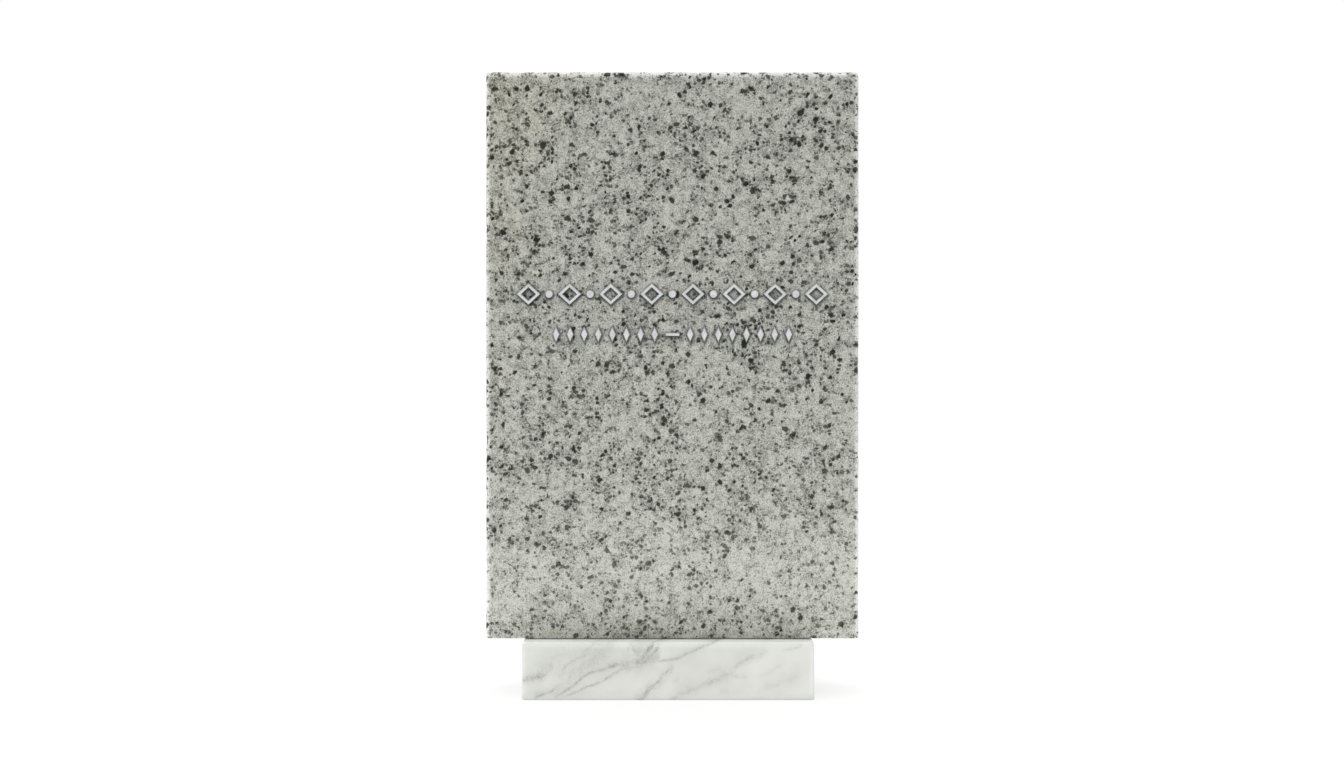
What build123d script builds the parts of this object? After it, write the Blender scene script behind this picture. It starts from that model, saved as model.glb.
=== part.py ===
from build123d import *
import math
import os

# Grave plaque: a granite slab stands on a narrower marble base, with two bands of applied metal ornament.
# Millimetres. +Z is up, the front faces -Y, and the origin is on the ground under the middle of the slab.

# Granite slab
slab_width = 400.0
slab_height = 607.5
slab_thickness = 80.0
slab_arris = 4.0
slab_foot_arris = 1.2  # the lowest edges are only just eased

# Marble base
base_width = 310.0
base_height = 61.0
base_ledge = 20.0  # how far the base reaches past the slab's front, and past its back
base_shift = -4.5  # the base stands a little to the left of the slab's middle
base_arris = 3.0
base_foot_chamfer = 1.5

# Setting bed between the two stones, raked back so that it shows as a thin dark line
bed_thickness = 1.0
bed_rake = 1.0

# Applied metal ornament on the face of the slab
ornament_relief = 4.0  # how far each piece stands off the slab
ornament_bevel = 1.0

# Upper band: open lozenges with a round stud between each two
upper_band_height_share = 0.607
upper_band_margin = 33.0  # the stone left at each end of the band
upper_lozenges = 8
upper_gap = 4.5
open_lozenge_height = 24.0
open_lozenge_stroke = 4.0
stud_diameter = 9.0

# Lower band: a bar in the middle and a row of slender lozenges on each side
lower_band_height_share = 0.536
lower_band_margin = 71.5
lower_lozenges_each_side = 8
lower_gap = 7.0
slender_lozenge_height = 18.0
bar_length = 16.0
bar_height = 4.0

# Places that follow from the sizes
base_depth = slab_thickness + 2 * base_ledge
slab_foot = base_height + bed_thickness
slab_front = -slab_thickness / 2
upper_band_length = slab_width - 2 * upper_band_margin
between_lozenges = stud_diameter + 2 * upper_gap
open_lozenge_width = (upper_band_length - (upper_lozenges - 1) * between_lozenges) / upper_lozenges
lower_row_length = slab_width / 2 - lower_band_margin - bar_length / 2
slender_lozenge_width = lower_row_length / lower_lozenges_each_side - lower_gap
standing = (Align.CENTER, Align.CENTER, Align.MIN)


def granite_slab():
    block = Box(slab_width, slab_thickness, slab_height, align=standing)
    foot_edges = block.edges().group_by(Axis.Z)[0]
    block = fillet(block.edges() - foot_edges, slab_arris)
    block = fillet(block.edges().group_by(Axis.Z)[0], slab_foot_arris)
    return Pos(0, 0, slab_foot) * block


def marble_base():
    block = Box(base_width, base_depth, base_height, align=standing)
    foot_edges = block.edges().group_by(Axis.Z)[0]
    block = fillet(block.edges() - foot_edges, base_arris)
    block = chamfer(block.edges().group_by(Axis.Z)[0], base_foot_chamfer)
    return Pos(base_shift, 0, 0) * block


def setting_bed():
    # The bed fills the flat part that the two stones share, less the rake on each side.
    bed_left = max(base_shift - base_width / 2 + base_arris, slab_foot_arris - slab_width / 2) + bed_rake
    bed_right = min(base_shift + base_width / 2 - base_arris, slab_width / 2 - slab_foot_arris) - bed_rake
    bed_depth = slab_thickness - 2 * (slab_foot_arris + bed_rake)
    bed = Box(bed_right - bed_left, bed_depth, bed_thickness, align=standing)
    return Pos((bed_left + bed_right) / 2, 0, base_height) * bed


def on_slab_face(piece, across, up):
    # A piece is drawn flat, with its back on XY, and is set upright against the slab's front.
    return Plane((across, slab_front, up), x_dir=(1, 0, 0), z_dir=(0, -1, 0)) * piece


def bevelled(piece):
    return chamfer(piece.edges().group_by(Axis.Z)[-1], ornament_bevel)


def rhombus(width, height):
    return Polygon((width / 2, 0), (0, height / 2), (-width / 2, 0), (0, -height / 2))


def open_lozenge():
    # The opening is the outline drawn smaller, so that the stroke is equally wide along all four sides.
    width, height = open_lozenge_width, open_lozenge_height
    inner_radius = width * height / (2 * math.hypot(width, height))
    opening_share = 1 - open_lozenge_stroke / inner_radius
    frame = rhombus(width, height) - rhombus(width * opening_share, height * opening_share)
    return bevelled(extrude(frame, ornament_relief))


def slender_lozenge():
    return bevelled(extrude(rhombus(slender_lozenge_width, slender_lozenge_height), ornament_relief))


def stud():
    return bevelled(Cylinder(stud_diameter / 2, ornament_relief, align=standing))


def bar():
    return bevelled(Box(bar_length, bar_height, ornament_relief, align=standing))


def upper_band():
    # The band starts and ends with a lozenge and is centred on the slab.
    pitch = open_lozenge_width + between_lozenges
    up = slab_foot + upper_band_height_share * slab_height
    pieces = {}
    for number in range(upper_lozenges):
        across = (number - (upper_lozenges - 1) / 2) * pitch
        pieces[f"upper_lozenge_{number + 1}"] = on_slab_face(open_lozenge(), across, up)
    for number in range(upper_lozenges - 1):
        across = (number - (upper_lozenges - 2) / 2) * pitch
        pieces[f"upper_stud_{number + 1}"] = on_slab_face(stud(), across, up)
    return pieces


def lower_band():
    # The lozenges are numbered outwards from the bar, which is in the middle of the slab.
    pitch = slender_lozenge_width + lower_gap
    first = bar_length / 2 + lower_gap + slender_lozenge_width / 2
    up = slab_foot + lower_band_height_share * slab_height
    pieces = {"lower_bar": on_slab_face(bar(), 0, up)}
    for number in range(lower_lozenges_each_side):
        across = first + number * pitch
        pieces[f"lower_lozenge_left_{number + 1}"] = on_slab_face(slender_lozenge(), -across, up)
        pieces[f"lower_lozenge_right_{number + 1}"] = on_slab_face(slender_lozenge(), across, up)
    return pieces


plaque = {
    "granite_slab": granite_slab(),
    "marble_base": marble_base(),
    "setting_bed": setting_bed(),
    **upper_band(),
    **lower_band(),
}

os.makedirs("parts", exist_ok=True)
for name, piece in plaque.items():
    export_step(piece, f"parts/{name}.step")
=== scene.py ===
import math

import bpy
import numpy as np
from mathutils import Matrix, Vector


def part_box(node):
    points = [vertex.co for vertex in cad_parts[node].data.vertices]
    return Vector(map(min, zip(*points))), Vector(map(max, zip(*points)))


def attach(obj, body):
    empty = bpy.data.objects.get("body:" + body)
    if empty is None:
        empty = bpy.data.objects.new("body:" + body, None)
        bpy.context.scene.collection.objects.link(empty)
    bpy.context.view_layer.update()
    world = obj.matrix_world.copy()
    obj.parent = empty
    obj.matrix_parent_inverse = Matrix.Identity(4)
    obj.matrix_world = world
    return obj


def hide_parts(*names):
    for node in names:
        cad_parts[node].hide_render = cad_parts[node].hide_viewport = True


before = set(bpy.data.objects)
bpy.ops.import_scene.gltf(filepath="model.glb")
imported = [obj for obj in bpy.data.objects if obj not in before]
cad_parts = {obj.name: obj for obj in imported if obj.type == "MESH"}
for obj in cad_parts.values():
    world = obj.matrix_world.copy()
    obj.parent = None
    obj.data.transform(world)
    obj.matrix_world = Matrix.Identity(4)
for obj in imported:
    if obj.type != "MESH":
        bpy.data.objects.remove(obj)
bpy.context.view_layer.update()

print("frame loaded, pieces:", len(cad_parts))


class Wire:
    # One socket of a node tree. Sums and products of wires add Math nodes to that tree.
    def __init__(self, tree, socket=None):
        self.tree, self.socket = tree, socket

    def node(self, kind, settings=(), sockets=(), out=0):
        made = self.tree.nodes.new("ShaderNode" + kind)
        for name, value in dict(settings).items():
            if name == "course":  # the places that a Float Curve passes through
                line = made.mapping.curves[0].points
                line[0].location, line[-1].location = value[0], value[-1]
                for place in value[1:-1]:
                    line.new(*place)
                made.mapping.update()
            else:
                setattr(made, name, value)
        for name, value in dict(sockets).items():
            if isinstance(value, Wire):
                self.tree.links.new(value.socket, made.inputs[name])
            else:
                made.inputs[name].default_value = value
        return Wire(self.tree, made.outputs[out] if made.outputs else None)

    def out(self, name):  # another output of the same node
        return Wire(self.tree, self.socket.node.outputs[name])

    def maths(self, operation, *terms):
        return self.node("Math", {"operation": operation}, dict(enumerate(terms)))

    def __add__(self, other):
        return self.maths("ADD", self, other)

    def __sub__(self, other):
        return self.maths("SUBTRACT", self, other)

    def __rsub__(self, other):
        return self.maths("SUBTRACT", other, self)

    def __mul__(self, other):
        return self.maths("MULTIPLY", self, other)

    def __pow__(self, other):
        return self.maths("POWER", self, other)

    __radd__, __rmul__ = __add__, __mul__

    def __abs__(self):
        return self.maths("ABSOLUTE", self)

    def fraction(self):
        return self.maths("FRACT", self)

    def larger(self, other):
        return self.maths("MAXIMUM", self, other)

    def smaller(self, other):
        return self.maths("MINIMUM", self, other)

    def vector(self, operation, other=(0, 0, 0)):
        out = "Value" if operation in ("DOT_PRODUCT", "LENGTH") else "Vector"
        return self.node("VectorMath", {"operation": operation}, {0: self, 1: other}, out)

    def times(self, factor):  # a vector made longer or shorter
        return self.node("VectorMath", {"operation": "SCALE"}, {0: self, "Scale": factor})

    def part(self, axis):
        return self.node("SeparateXYZ", {}, {0: self}, axis)

    def step(self, low, high):  # smooth rise from 0 at low to 1 at high, or a fall where low is the larger
        ends = {"Value": self, "From Min": low, "From Max": high}
        return self.node("MapRange", {"interpolation_type": "SMOOTHSTEP"}, ends)

    def blend(self, first, second):  # first where this wire is 0, second where it is 1
        return self.node("Mix", {"data_type": "RGBA"}, {0: self, 6: first, 7: second}, 2)

    def noise(self, size, detail=2.0, rough=0.5, shift=(0, 0, 0)):  # about 0.5, with lumps of that size
        spot = self.vector("ADD", shift)
        return self.node("TexNoise", {}, {"Vector": spot, "Scale": 1 / size, "Detail": detail, "Roughness": rough})

    def waves(self, size, reach, detail=1.0):  # noise about 0, scaled to that reach
        return (self.noise(size, detail) - 0.5) * reach

    def stray(self, size, reach, shift=(0, 0, 0)):  # this spot, moved about by noise
        away = self.noise(size, 1.0, 0.5, shift).out("Color").vector("SUBTRACT", (0.5, 0.5, 0.5))
        return self.vector("ADD", away.times(2 * reach))


def newMaterial(name):
    material = bpy.data.materials.new(name)
    material.use_nodes = True
    material.node_tree.nodes.clear()
    return material, Wire(material.node_tree)


def finishMaterial(start, sockets):
    shader = start.node("BsdfPrincipled", {}, sockets)
    start.node("OutputMaterial", {}, {"Surface": shader})


def millimetres(start):  # the spot on the piece, in millimetres
    return start.node("TexCoord", {}, {}, "Object").times(1000.0)


def edgeDistance(mm, low, high):
    # The distances from the three pairs of faces are put in order. On the surface the first is nearly nothing, and the
    # second is the way to the nearest edge.
    middle, half = (low + high) * 500, (high - low) * 500
    inward = mm.vector("SUBTRACT", tuple(middle)).vector("ABSOLUTE").times(-1.0).vector("ADD", tuple(half))
    across, deep, up = (inward.part(axis) for axis in range(3))
    return across.smaller(deep).larger(across.larger(deep).smaller(up))


def besideBands(mm):
    # Distance from the nearest metal piece on the face. Each band repeats, so a spot is first carried to the piece
    # that it is next to. A lozenge's distance is the sum of the two shares of its half sizes, less one, scaled by the
    # radius of the circle inside it; an open one is a stroke about its own outline.
    def measures(node):
        low, high = (np.array(corner) * 1000 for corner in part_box(node))
        return (low + high) / 2, (high - low) / 2

    def lozenge(across, up, half):
        inner = half[0] * half[2] / math.hypot(half[0], half[2])
        return (abs(across) * (1 / half[0]) + abs(up) * (1 / half[2]) - 1.0) * inner

    def nearest(across, first, pitch):  # the way to the middle of the nearest piece of a row
        return ((across - first) * (1 / pitch) + 0.5).fraction() * pitch - pitch / 2

    across = mm.part(0)
    (middle, half), (second, stud) = measures("upper_lozenge_1"), measures("upper_stud_1")
    pitch, up = measures("upper_lozenge_2")[0][0] - middle[0], mm.part(2) - middle[2]
    beside = nearest(across, second[0], pitch)
    fromStud = (beside * beside + up * up) ** 0.5 - stud[0]
    halfStroke = metal["stroke"] / 2
    fromFrame = abs(lozenge(nearest(across, middle[0], pitch), up, half) + halfStroke) - halfStroke
    upper = fromStud.smaller(fromFrame).larger(abs(across) - (half[0] - middle[0]))

    (middle, half), barHalf = measures("lower_lozenge_right_1"), measures("lower_bar")[1]
    pitch, up = measures("lower_lozenge_right_2")[0][0] - middle[0], mm.part(2) - middle[2]
    last = measures("lower_lozenge_right_8")[0][0] + half[0]
    fromRow = lozenge(nearest(abs(across), middle[0], pitch), up, half)
    fromRow = fromRow.larger(abs(across) - last).larger(middle[0] - half[0] - abs(across))
    fromBar = (abs(across) - barHalf[0]).larger(abs(up) - barHalf[2])
    return upper.smaller(fromRow).smaller(fromBar)


def grains(spot, crowd, sort):
    # Each cell of a Voronoi pattern holds one grain: an ellipsoid about the cell's point. The cell's random colour
    # gives its long axis, its size and how dark it is, and grains are larger where the crowd is dense.
    cells = spot.node("TexVoronoi", {}, {"Vector": spot, "Scale": 1 / sort["cell"]})
    dice = cells.out("Color")
    away = spot.vector("SUBTRACT", cells.out("Position"))
    axis = dice.vector("SUBTRACT", (0.5, 0.5, 0.5)).vector("NORMALIZE")
    along = away.vector("DOT_PRODUCT", axis)
    reach = (away.vector("DOT_PRODUCT", away) - along * along * sort["stretch"]).larger(0.0) ** 0.5
    size = dice.part(0) ** sort["rarity"] * (sort["most"] - sort["least"]) + sort["least"] + crowd * sort["gather"]
    inside = (reach - size).step(sort["edge"], -sort["edge"])
    return inside * (dice.part(2) * sort["spread"] + (1 - sort["spread"])) * sort["strength"]


granite = {
    "arris": 0.004,
    "foot": 0.0012,  # the smaller arris round the foot
    "step": 0.0028,  # distance between the mesh's grid lines
    "chipDepth": 0.0017,
    "chipSize": 0.006,
    "pale": (0.6, 0.609, 0.552, 1),  # clear quartz and feldspar
    "grey": (0.25, 0.255, 0.228, 1),  # cloudy ground
    "smoke": (0.058, 0.0585, 0.044, 1),  # soft grey specks
    "black": (0.0075, 0.008, 0.003, 1),  # mica
    "hair": (0.12, 0.115, 0.1, 1),  # fine cracks
    "warmth": (1.02, 1.0, 0.945),  # a faint brown drift in the upper left
    "bright": (1.03, 1.03, 1.03),  # in the clearer part
    "paintedRimHighlight": (1.4, 1.4, 1.48),  # painted highlight along the arrises
    "paintedFootShade": (0.86, 0.86, 0.84),  # painted shade just above the base
    "grimeAndPaintedShadow": (0.42, 0.42, 0.4),  # painted shadow, with some grime, close about the metal pieces
    "roughness": 0.38,
    "polish": 0.1,  # how much smoother the pale ground is
    "shine": 0.2,
    # what makes the ground paler, or less so, and where grains lie close together
    "crystalShare": 0.25,
    "dustShare": 2.7,
    "lumpShare": 1.2,
    "crowdShare": 0.25,
    "clearShare": 0.1,
    "rimHighlightShare": 0.5,
    "groundLevel": 1.575,
    "thinning": 0.18,  # in the clearer part
    "rimCrowd": 0.14,
    "slightlyClear": 0.13,  # how clear the stone is between paleFrom and paleBelow
    "crackStrength": 0.5,
    # heights and lengths in millimetres
    "paleFrom": 365,  # the stone gets a little clearer under about this height,
    "paleBelow": 178,  # and clearest between these two
    "paleAbove": 85,
    "paleFade": 40,  # half the height that each change takes
    "rimHighlightReach": 6.5,
    "footShadeReach": 75.0,
    "grimeAndShadowReach": 2.6,
    "grimeAndShadowShift": (-0.5, 0, 0.6),  # the painted shadow and grime lie a little lower than the metal, and to its right
    "dustSize": 1.2,
    "crystalSize": 2.0,
    "lumpSize": 8.0,
    "crackSpacing": 70.0,
    # sorts of grain, the finest first
    "sorts": [
        {"tint": "smoke", "strength": 0.55, "spread": 0.6, "cell": 1.9, "least": -0.1, "most": 0.7, "rarity": 1.0,
         "stretch": 0.4, "edge": 0.3, "gather": 0.5},
        {"tint": "smoke", "strength": 0.95, "spread": 0.5, "cell": 3.0, "least": -0.1, "most": 1.15, "rarity": 1.2,
         "stretch": 0.4, "edge": 0.42, "gather": 0.8},
        {"tint": "black", "strength": 1.0, "spread": 0.35, "cell": 4.7, "least": 0.05, "most": 2.1, "rarity": 1.8,
         "stretch": 0.4, "edge": 0.62, "gather": 1.2},
        {"tint": "black", "strength": 1.0, "spread": 0.2, "cell": 8.6, "least": 0.4, "most": 3.0, "rarity": 1.85,
         "stretch": 0.35, "edge": 0.85, "gather": 1.6},
    ],
}


def clearStone(mm):
    # How clear the stone is, by height: fully between two heights, slightly under a third, and not at all over that.
    # Waves bend the heights.
    look, fade = granite, granite["paleFade"]
    height = mm.part(2) + mm.waves(60.0, 110) + mm.waves(14.0, 40)
    full = height.step(look["paleBelow"] + fade, look["paleBelow"] - fade)
    full = full * height.step(look["paleAbove"] - fade, look["paleAbove"] + fade)
    return full.larger(height.step(look["paleFrom"] + fade, look["paleFrom"] - fade) * look["slightlyClear"])


def rimHighlightMask(mm, low, high):
    # The mask of the painted highlight along the arrises: 1 on the arrises and 0 on the flats. The block is taken as
    # longer downwards, which spares the foot.
    longer, shorter = np.array([0, 0, 0.005]), np.array([0, 0, 0.0015])
    away = edgeDistance(mm, low - longer, high - shorter) + mm.waves(3.0, 3)
    return away.step(granite["rimHighlightReach"], 0.3)


def footShadeMask(mm, foot):
    # The mask of painted shade at the slab's foot: 1 at the foot over the base, which falls to 0 upwards and just
    # short of the base's two ends.
    baseLow, baseHigh = (corner[0] * 1000 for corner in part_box("marble_base"))
    middle, half = (baseLow + baseHigh) / 2, (baseHigh - baseLow) / 2
    sides = abs(mm.part(0) - middle) + mm.waves(12.0, 20)
    return (mm.part(2) - foot).step(granite["footShadeReach"], 0.0) * sides.step(half + 4, half - 24)


def fineCracks(mm):
    # Thin lines along the edges of large Voronoi cells, kept only where noise is high.
    spacing = granite["crackSpacing"]
    cell = {"Vector": mm.stray(30.0, 14.0), "Scale": 1 / spacing}
    away = mm.node("TexVoronoi", {"feature": "DISTANCE_TO_EDGE"}, cell) * spacing
    kept = mm.noise(34.0, 1.0, 0.5, (5, 60, 2)).step(0.54, 0.62)
    return away.step(0.6, 0.1) * kept * granite["crackStrength"]


def graniteMaterial(low, high):
    look = granite
    material, start = newMaterial("speckled granite")
    mm = millimetres(start)
    spot = mm.stray(2.6, 0.9).stray(9.0, 2.0, (9, 9, 9))  # bends the outlines of grains and crystals
    clear, rim = clearStone(mm), rimHighlightMask(mm, low, high)

    crowd = mm.noise(20.0, 2.0) * 0.45 + mm.noise(7.5, 2.0, 0.5, (71, 13, 5)) * 0.55
    crowd = crowd + (mm.noise(70.0, 1.0, 0.5, (17, 50, 4)) - 0.5) * 0.15
    crowd = crowd.step(0.4, 0.6) - 0.5 - clear * look["thinning"] + rim * look["rimCrowd"]
    cells = {"Vector": spot, "Scale": 1 / look["crystalSize"]}
    crystal = mm.node("TexVoronoi", {}, cells).out("Color").part(0)
    dust = mm.noise(look["dustSize"], 2.0, 0.6)
    lump = mm.noise(look["lumpSize"], 2.0, 0.6, (3, 40, 8))
    ground = crystal * look["crystalShare"] + dust * look["dustShare"] + lump * look["lumpShare"]
    # the rim's share is a painted highlight: paler ground along the arrises
    ground = ground - crowd * look["crowdShare"] + clear * look["clearShare"] + rim * look["rimHighlightShare"]
    ground = (ground - look["groundLevel"]).step(0.0, 1.0)
    colour = ground.blend(look["grey"], look["pale"])

    colour = fineCracks(mm).blend(colour, look["hair"])
    fewer = 1 - clear * look["thinning"]
    for sort in look["sorts"]:
        colour = (grains(spot, crowd, sort) * fewer).blend(colour, look[sort["tint"]])

    warm = (mm.part(0) - mm.part(2) * 0.35 + mm.waves(80.0, 260, 2.0)).step(-260, -420)
    front = mm.part(1).step(-20, -30)
    # painted shadow, with some grime, about the metal pieces on the front
    grimeAndPaintedShadow = besideBands(mm.vector("ADD", look["grimeAndShadowShift"])).step(look["grimeAndShadowReach"], 0.0) * front
    # painted shade at the foot, where the base's ledge would shade the stone
    paintedFootShade = footShadeMask(mm, float(low[2]) * 1000)
    shades = {"warmth": warm, "bright": clear, "paintedRimHighlight": rim, "grimeAndPaintedShadow": grimeAndPaintedShadow, "paintedFootShade": paintedFootShade}
    for name, share in shades.items():
        colour = share.blend(colour, colour.vector("MULTIPLY", look[name]))

    relief = dust * 0.5 + ground * 0.5
    bump = start.node("Bump", {}, {"Strength": 0.25, "Distance": 0.0004, "Height": relief})
    rough = look["roughness"] - ground * look["polish"]
    finishMaterial(start, {"Base Color": colour, "Roughness": rough, "Specular IOR Level": look["shine"],
                           "Normal": bump})
    return material


marble = {
    "arris": 0.003,
    "foot": 0.0015,
    "step": 0.004,
    "white": (0.68, 0.69, 0.646, 1),
    "cloud": (0.61, 0.617, 0.58, 1),
    "drift": 0.0011,  # how much cloudier the marble gets, for each millimetre to the left
    "pale": (0.735, 0.745, 0.71, 1),  # painted highlight along the arrises
    "upper": (0.91, 0.92, 0.885, 1),  # painted light on the ledges and other faces that look up
    "vein": (0.22, 0.225, 0.2, 1),
    "lean": 0.5,  # how far the veins drift sideways, and up, for each millimetre that they run back
    "rise": 0.15,
    "lineShare": 0.5,  # how dark a vein's fine line and its haze are
    "hazeShare": 0.45,
    "hazeWidth": 3.2,  # in widths of the line
    "faintVeins": 0.3,  # towards the back
    "roughness": 0.44,
    "shine": 0.3,
    "gritSize": 1.7,  # in millimetres, as are the next three
    "patchSize": 9.0,
    "cloudSize": 45.0,
    "rimReach": 8.0,
    # veins from the left: half width, darkness, and their course over the front, across and up in millimetres
    "veins": [
        {"width": 3.2, "dark": 0.55, "path": [(-162.5, 20.5), (-154, 22), (-145.5, 23.5), (-139, 24.5),
            (-133.5, 27.5), (-129.5, 31), (-126.5, 34)]},
        {"width": 5, "dark": 0.3, "path": [(-150.5, 22.5), (-142, 26.5), (-135, 31), (-128.5, 33.5), (-123, 35.5)]},
        {"width": 1.8, "dark": 0.48, "path": [(-149.5, 1.5), (-142, 4.5), (-133.5, 8), (-126.5, 11), (-120, 14)]},
        {"width": 14, "dark": 0.24, "path": [(-135, 4.5), (-119, 14), (-103, 26), (-87, 38.5), (-70, 52),
            (-57.5, 60.5)]},
        {"width": 2.0, "dark": 0.62, "path": [(-130.5, 0.5), (-121, 5.5), (-112.5, 11), (-105, 15), (-98, 21),
            (-92.5, 26), (-87, 30), (-80, 31.5), (-71.5, 33), (-63, 35.5), (-54.5, 38), (-45, 40.5)]},
        {"width": 5, "dark": 0.26, "path": [(-123, 9), (-112.5, 15), (-102, 23.5), (-91.5, 32), (-83, 35.5)]},
        {"width": 1.5, "dark": 0.45, "path": [(-123, 1), (-112.5, 5), (-103, 8.5), (-92.5, 12.5), (-84, 16),
            (-75.5, 20), (-67, 24.5), (-59.5, 29), (-51, 33.5), (-40.5, 35.5), (-33, 36.5), (-27, 38.5),
            (-20.5, 41.5)]},
        {"width": 1.4, "dark": 0.34, "path": [(-120.5, 21.5), (-118.5, 28), (-114.5, 33.5), (-109.5, 38.5),
            (-103, 42.5), (-95.5, 47), (-87, 51)]},
        {"width": 2.0, "dark": 0.34, "path": [(-99, 49), (-93.5, 52.5), (-89.5, 55), (-85, 58), (-81, 60.5)]},
        {"width": 4, "dark": 0.14, "path": [(-135, 40.5), (-123, 45), (-111.5, 48.5), (-100, 51), (-89.5, 55.5)]},
        {"width": 4, "dark": 0.26, "path": [(-108.5, 23.5), (-100, 34), (-91.5, 41), (-83, 45), (-74.5, 48.5),
            (-67, 53.5), (-60.5, 58.5)]},
        {"width": 2.2, "dark": 0.34, "path": [(-96.5, 35.5), (-91.5, 40.5), (-85, 43.5)]},
        {"width": 1.6, "dark": 0.28, "path": [(-49, 51), (-46, 55.5), (-42.5, 59.5)]},
        {"width": 4, "dark": 0.42, "path": [(-57.5, 35.5), (-51, 37), (-46, 38.5), (-38.5, 41.5)]},
        {"width": 2.5, "dark": 0.3, "path": [(-53.5, 32.5), (-47, 33.5), (-40.5, 35)]},
        {"width": 3.2, "dark": 0.68, "path": [(-34.5, 40.5), (-30, 45.5), (-26, 51), (-21.5, 56), (-18.5, 60.5)]},
        {"width": 2.6, "dark": 0.66, "path": [(-31, 40), (-26, 43.5), (-20.5, 48), (-16.5, 52), (-12, 55.5)]},
        {"width": 3.2, "dark": 0.5, "path": [(-45, 54.5), (-39.5, 50.5), (-34.5, 46.5), (-29, 42.5)]},
        {"width": 9, "dark": 0.4, "path": [(-44, 49), (-34.5, 47.5), (-23.5, 47), (-10, 47)]},
        {"width": 5, "dark": 0.58, "path": [(-44, 39.5), (-34.5, 40.5), (-24, 42), (-13, 43)]},
        {"width": 1.6, "dark": 0.48, "path": [(-23.5, 45.5), (-18.5, 43), (-13, 41.5), (-6.5, 41.5), (-0.5, 42.5),
            (7, 45), (14.5, 48), (22, 51), (29, 54.5), (35.5, 57), (43, 60.5), (52, 64.5)]},
        {"width": 4, "dark": 0.14, "path": [(-0.5, 41.5), (12.5, 46.5), (25, 52), (40, 58.5)]},
        {"width": 2.4, "dark": 0.45, "path": [(-36.5, -4), (-31, 1.5), (-26, 7.5), (-20.5, 13.5), (-15, 20),
            (-10, 26), (-4.5, 31), (0.5, 35.5)]},
        {"width": 2.6, "dark": 0.6, "path": [(-44, -12), (-36.5, -4), (-31, 1.5), (-26, 7.5), (-20.5, 13.5),
            (-15, 20)]},
        {"width": 5, "dark": 0.25, "path": [(-23.5, 6.5), (-16.5, 14), (-9, 21.5), (-1.5, 30), (4, 35.5)]},
        {"width": 3.5, "dark": 0.42, "path": [(-11, 26), (-6.5, 28.5), (-2.5, 31)]},
        {"width": 3, "dark": 0.16, "path": [(-2.5, 20.5), (3, 21), (8, 22.5)]},
        {"width": 4.0, "dark": 0.32, "path": [(-9, -3), (-0.5, 1.5), (8, 5.5), (16.5, 8.5), (25, 12), (33.5, 16),
            (42, 20), (50.5, 23), (58, 26.5), (65, 30), (71.5, 33)]},
        {"width": 6, "dark": 0.16, "path": [(4, 1.5), (18.5, 8), (34.5, 14), (50.5, 21.5), (69.5, 30)]},
        {"width": 3, "dark": 0.22, "path": [(59, 26), (67.5, 24), (73.5, 23.5), (81, 24)]},
        {"width": 3.2, "dark": 0.3, "path": [(60, 30), (65, 33.5), (70.5, 37.5), (77, 41.5), (83, 45),
            (89.5, 47.5), (96, 50), (102, 52.5)]},
        {"width": 3, "dark": 0.22, "path": [(81, 43.5), (87.5, 45.5), (94, 46.5)]},
        {"width": 2.4, "dark": 0.2, "path": [(34.5, 28.5), (41, 31), (47, 33), (53.5, 35.5)]},
        {"width": 3, "dark": 0.14, "path": [(49.5, 8.5), (55.5, 9.5), (61, 10.5)]},
        {"width": 3, "dark": 0.15, "path": [(87.5, 22.5), (97, 26.5), (104.5, 30.5), (112, 35.5), (122.5, 38.5)]},
        {"width": 1.5, "dark": 0.2, "path": [(115, 51), (123.5, 53.5), (132, 55.5), (140.5, 58.5)]},
        {"width": 4, "dark": 0.16, "path": [(84.5, 3.5), (98, 10.5), (110.5, 16), (122.5, 21.5), (133, 26.5),
            (144.5, 32)]},
    ],
}


def veinShade(across, up, vein):
    # The vein's height is a smooth curve over its breadth. A fine dark line follows the curve, with a wider haze about
    # it that reaches further above than below. Both are measured square to the vein's general slope, and fade out at
    # the vein's two ends.
    tall = 60  # the height that the top of a Float Curve stands for
    (left, foot), (right, top) = vein["path"][0], vein["path"][-1]
    share = (across - left) * (1 / (right - left))
    course = [((x - left) / (right - left), z / tall) for x, z in vein["path"]]
    above = up - share.node("FloatCurve", {"course": course}, {"Value": share}) * tall
    away = (above * 0.65).larger(above * -1.2)
    width = vein["width"] * math.hypot(right - left, top - foot) / (right - left)
    haze = away.step(width * marble["hazeWidth"], 0.0) * marble["hazeShare"]
    shade = away.step(width, 0.0) * marble["lineShare"] + haze
    return shade * (share * (1 - share)).step(-0.01, 0.17) * vein["dark"]


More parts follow.
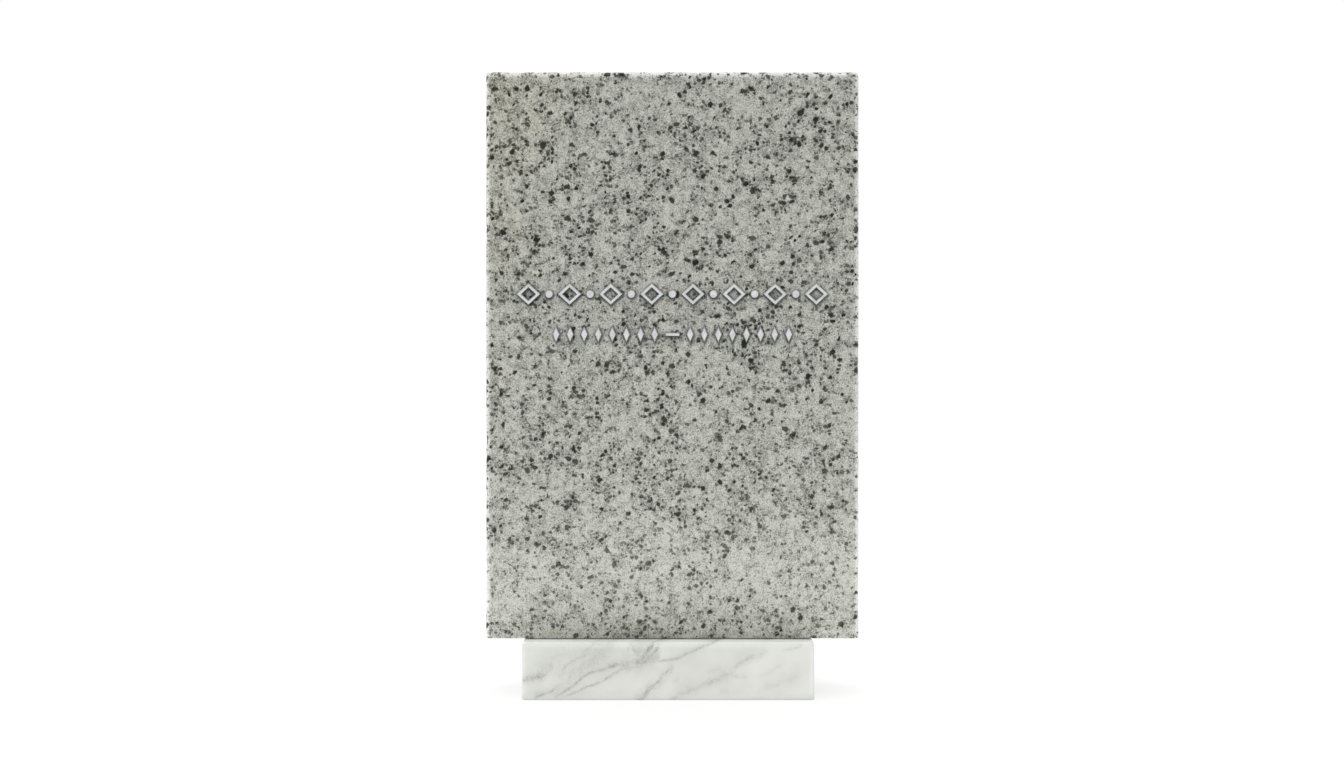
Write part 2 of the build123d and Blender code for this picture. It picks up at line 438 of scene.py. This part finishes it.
def marbleMaterial(low, high):
    look = marble
    material, start = newMaterial("veined marble")
    mm = millimetres(start)
    spot = mm.stray(6.0, 1.0).stray(24.0, 2.2, (40, 3, 9))
    depth = spot.part(1) - float(low[1]) * 1000
    across, up = spot.part(0) - depth * look["lean"], spot.part(2) - depth * look["rise"]
    shade = veinShade(across, up, look["veins"][0])
    for vein in look["veins"][1:]:
        shade = shade.larger(veinShade(across, up, vein))
    # fainter veins where noise is near its middle value, towards the back
    ridge = abs(spot.vector("MULTIPLY", (0.35, 0.5, 1.0)).noise(38.0, 1.0) - 0.5).step(0.05, 0.0)
    ridge = ridge * mm.noise(45.0, 1.0, 0.5, (8, 8, 8)).step(0.4, 0.6) * depth.step(10.0, 70.0) * look["faintVeins"]
    grit = mm.noise(look["gritSize"], 2.0, 0.7).step(0.36, 0.64)
    patchy = mm.noise(look["patchSize"], 2.0, 0.6, (30, 7, 1)).step(0.3, 0.7)
    shade = shade.larger(ridge) * (grit * 0.6 + 0.55) * (patchy * 0.7 + 0.65)

    cloudy = mm.noise(look["cloudSize"], 2.0) - mm.part(0) * look["drift"]
    colour = cloudy.step(0.3, 0.7).blend(look["white"], look["cloud"])
    # a painted highlight: paler along the arrises
    rim = edgeDistance(mm, low, high) + mm.waves(5.0, 2)
    colour = rim.step(look["rimReach"], 0.5).blend(colour, look["pale"])
    # painted light: paler on faces that look up, as on the ledges
    tilt = start.node("NewGeometry", {}, {}, "Normal").part(2)
    colour = tilt.step(0.5, 0.95).blend(colour, look["upper"])
    colour = shade.blend(colour, look["vein"])
    bump = start.node("Bump", {}, {"Strength": 0.1, "Distance": 0.0002, "Height": mm.noise(0.9, 2.0, 0.6)})
    rough = look["roughness"] + grit * 0.08
    finishMaterial(start, {"Base Color": colour, "Roughness": rough, "Specular IOR Level": look["shine"],
                           "Normal": bump})
    return material


metal = {
    "silver": (0.695, 0.722, 0.73, 1),
    "dull": (0.5, 0.52, 0.526, 1),
    "tarnishAndPaintedShade": (0.1, 0.1, 0.095, 1),  # tarnish on the bevels and walls, with painted shade that keeps it mostly to those that face down
    "roughness": 0.26,
    "stroke": 4.0,  # the breadth of an open lozenge's sides, in millimetres, as are the next two
    "brushSize": 0.5,
    "cloudSize": 6.0,
}


def metalMaterial(face):
    look = metal
    material, start = newMaterial("satin metal")
    mm = millimetres(start)
    brushed = mm.vector("MULTIPLY", (0.12, 1.0, 1.0)).noise(look["brushSize"], 2.0)
    cloudy = mm.noise(look["cloudSize"], 2.0, 0.6)
    colour = (brushed * 0.6 + cloudy * 0.4).step(0.35, 0.6).blend(look["dull"], look["silver"])
    sunk = mm.part(1) - face * 1000 + mm.waves(1.2, 0.3)  # how far back from the front
    tilt = start.node("NewGeometry", {}, {}, "Normal").part(2)
    # tarnish in the hollows, and painted shade on bevels and walls that face down
    tarnishAndShade = sunk.step(0.05, 0.5) * (0.55 - tilt * 0.7).larger(0.1).smaller(1.0)
    colour = tarnishAndShade.blend(colour, look["tarnishAndPaintedShade"])
    rough = look["roughness"] + brushed * 0.14 + tarnishAndShade * 0.25
    finishMaterial(start, {"Base Color": colour, "Metallic": 1.0, "Roughness": rough})
    return material


mortar = {
    "grey": (0.2, 0.2, 0.19, 1),
    "sand": (0.3, 0.295, 0.27, 1),
    "roughness": 0.9,
    "gritSize": 0.8,  # in millimetres
}


def mortarMaterial():
    material, start = newMaterial("setting mortar")
    mm = millimetres(start)
    grit = mm.noise(mortar["gritSize"], 3.0, 0.7)
    bump = start.node("Bump", {}, {"Strength": 0.4, "Distance": 0.0005, "Height": grit})
    colour = grit.step(0.35, 0.65).blend(mortar["grey"], mortar["sand"])
    finishMaterial(start, {"Base Color": colour, "Roughness": mortar["roughness"], "Normal": bump})
    return material


def lumps(points, size, seed):
    # Value noise from 0 to 1: a random number at each corner of a lattice, blended smoothly between corners.
    spot = points / size
    cell = np.floor(spot).astype(np.int64)
    part = spot - cell
    part = part * part * (3 - 2 * part)
    total = np.zeros(len(points))
    for corner in range(8):
        bits = np.array([corner & 1, corner >> 1 & 1, corner >> 2 & 1])
        key = (cell + bits) @ np.array([73856093, 19349663, 83492791]) + seed * 2654435761
        key = (key ^ key >> 13) * 1274126177 & 0x7FFFFFFF
        key = (key ^ key >> 15) * 668265263 & 0x7FFFFFFF
        weight = np.where(bits, part, 1 - part).prod(axis=1)
        total += weight * (key / 0x7FFFFFFF)
    return total


def gridLine(low, high, arrisLow, arrisHigh, step):
    # Places along one edge of a block: even steps on the flat, and even angles round each arris.
    turn = np.tan(np.linspace(0, math.pi / 4, 6))
    flat = np.linspace(low + arrisLow, high - arrisHigh, max(2, round((high - low) / step)))
    first = low + arrisLow - arrisLow * turn[:0:-1] if arrisLow else []
    last = high - arrisHigh + arrisHigh * turn[1:] if arrisHigh else []
    return np.concatenate([first, flat, last])


def stoneBlock(name, low, high, arris, foot, step, chipDepth=0.0, chipSize=1.0):
    # Each of the six faces is a grid in two parameters. A grid point is pulled to the block's inner core, one arris
    # in from every face but the lowest, and pushed out again by the arris along the line between the two, which
    # rounds the edges. Chips take some of that away, the more the nearer the edge. Round the foot the walls are drawn
    # in along a quarter circle.
    lines = [gridLine(low[a], high[a], foot if a == 2 else arris, arris, step) for a in range(3)]
    points, quads, count = [], [], 0
    for axis in range(3):
        second, third = (axis + 1) % 3, (axis + 2) % 3
        b, c = np.meshgrid(lines[second], lines[third], indexing="ij")
        index = np.arange(b.size).reshape(b.shape)
        corners = [index[:-1, :-1], index[1:, :-1], index[1:, 1:], index[:-1, 1:]]
        for side in (low, high):
            face = np.empty((b.size, 3))
            face[:, axis], face[:, second], face[:, third] = side[axis], b.ravel(), c.ravel()
            ring = corners if side is high else corners[::-1]
            quads.append(np.stack([r.ravel() for r in ring], axis=1) + count)
            points.append(face)
            count += len(face)
    points, where = np.unique(np.round(np.concatenate(points), 7), axis=0, return_inverse=True)
    quads = where.ravel()[np.concatenate(quads)]
    edge = np.sort(np.minimum(points - low, high - points), axis=1)[:, 1]  # the way to the nearest edge
    nearEdge = np.clip(1 - edge / (2.2 * arris), 0, 1)
    core = np.clip(points, low + np.array([arris, arris, 0]), high - arris)
    away = points - core
    reach = np.linalg.norm(away, axis=1, keepdims=True)
    outward = away / np.maximum(reach, 1e-9)
    chip = np.clip((lumps(points, chipSize, 1) - 0.6) / 0.25, 0, 1) + 0.3 * lumps(points, chipSize / 2.5, 2)
    points = core + outward * (np.abs(away).max(axis=1) - chipDepth * chip * nearEdge)[:, None]
    middle, half = (low + high) / 2, (high - low) / 2
    drop = np.clip((low[2] + foot - points[:, 2]) / foot, 0, 1)
    inset = foot * (1 - np.sqrt(1 - drop * drop))
    points[:, :2] = middle[:2] + (points[:, :2] - middle[:2]) * (1 - inset[:, None] / half[:2])
    mesh = bpy.data.meshes.new(name)
    mesh.from_pydata(points, [], quads)
    mesh.shade_smooth()
    piece = bpy.data.objects.new(name, mesh)
    bpy.context.collection.objects.link(piece)
    return piece


def setStone(name, node, material, look):
    low, high = (np.array(corner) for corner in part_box(node))
    shape = {key: look[key] for key in ("arris", "foot", "step", "chipDepth", "chipSize") if key in look}
    piece = stoneBlock(name, low, high, **shape)
    piece.data.materials.append(material(low, high))
    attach(piece, "root")
    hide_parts(node)
    print(name, "faces:", len(piece.data.polygons))


setStone("slab", "granite_slab", graniteMaterial, granite)
setStone("base", "marble_base", marbleMaterial, marble)

silver, bedding = metalMaterial(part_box("lower_bar")[0][1]), mortarMaterial()
for nodeName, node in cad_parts.items():
    if nodeName.startswith(("upper_", "lower_")):
        node.material_slots[0].material = silver
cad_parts["setting_bed"].material_slots[0].material = bedding
print("metal ornament and mortar dressed")


studio = {
    "frontLight": 0.56,
    "sideLight": 0.9,
    "leftLight": 0.25,  # added towards the left, and taken away towards the right
    "topLight": 1.2,  # added towards the zenith
    "cardLight": 0.58,  # a white card that lies before the foot
    "cardSize": (0.9, 0.275),
    "cardPlace": (0, -0.2025, 0.001),
    "floorReach": 30.0,
    "floorColour": (0.3, 0.3, 0.3, 1),
    "floorGlow": 0.7,  # to the camera
    "floorBounce": 0.52,  # to the stones
    "eye": (-0.0004, -1.66, 0.33475),
    "lens": 40.5,
}


def studioWorld():
    world = bpy.data.worlds.new("white studio")
    bpy.context.scene.world = world
    world.use_nodes = True
    world.node_tree.nodes.clear()
    start = Wire(world.node_tree)
    path = start.node("LightPath", {}, {}, "Is Camera Ray")
    shown = path.larger(path.out("Is Glossy Ray")).larger(path.out("Is Transmission Ray"))
    way = start.node("TexCoord", {}, {}, "Generated")
    front, above = (way.part(1) * -1.0).larger(0.0), way.part(2).larger(0.0)
    light = studio["sideLight"] - front * (studio["sideLight"] - studio["frontLight"])
    light = light - way.part(0) * studio["leftLight"] + above ** 3.0 * studio["topLight"]
    strength = light * (1 - shown) + shown
    sky = start.node("Background", {}, {"Color": (1, 1, 1, 1), "Strength": strength})
    start.node("OutputWorld", {}, {"Surface": sky})


def studioFloor():
    reach = studio["floorReach"]
    corners = [(-reach, -reach, 0), (reach, -reach, 0), (reach, reach, 0), (-reach, reach, 0)]
    mesh = bpy.data.meshes.new("floor")
    mesh.from_pydata(corners, [], [(0, 1, 2, 3)])
    floor = bpy.data.objects.new("floor", mesh)
    bpy.context.collection.objects.link(floor)
    material, start = newMaterial("white floor")
    path = start.node("LightPath", {}, {}, "Is Camera Ray")
    seen = path.larger(path.out("Is Glossy Ray")).larger(path.out("Is Transmission Ray"))
    glow = seen * (studio["floorGlow"] - studio["floorBounce"]) + studio["floorBounce"]
    finishMaterial(start, {"Base Color": studio["floorColour"], "Roughness": 1.0, "Specular IOR Level": 0.0,
                           "Emission Color": glow, "Emission Strength": 1.0})
    mesh.materials.append(material)


def studioCard():
    data = bpy.data.lights.new("white card", "AREA")
    data.shape = "RECTANGLE"
    data.size, data.size_y = studio["cardSize"]
    data.energy = studio["cardLight"] * math.pi * data.size * data.size_y
    card = bpy.data.objects.new("white card", data)
    card.location = studio["cardPlace"]
    card.rotation_euler = (math.pi, 0, 0)  # face up
    card.visible_camera = False
    bpy.context.collection.objects.link(card)


def studioCamera():
    data = bpy.data.cameras.new("camera")
    data.lens = studio["lens"]
    camera = bpy.data.objects.new("camera", data)
    camera.location = studio["eye"]
    camera.rotation_euler = (math.pi / 2, 0, 0)
    bpy.context.collection.objects.link(camera)
    bpy.context.scene.camera = camera


studioWorld()
studioFloor()
studioCard()
studioCamera()
bpy.context.scene.view_settings.view_transform = "Standard"
print("studio set")
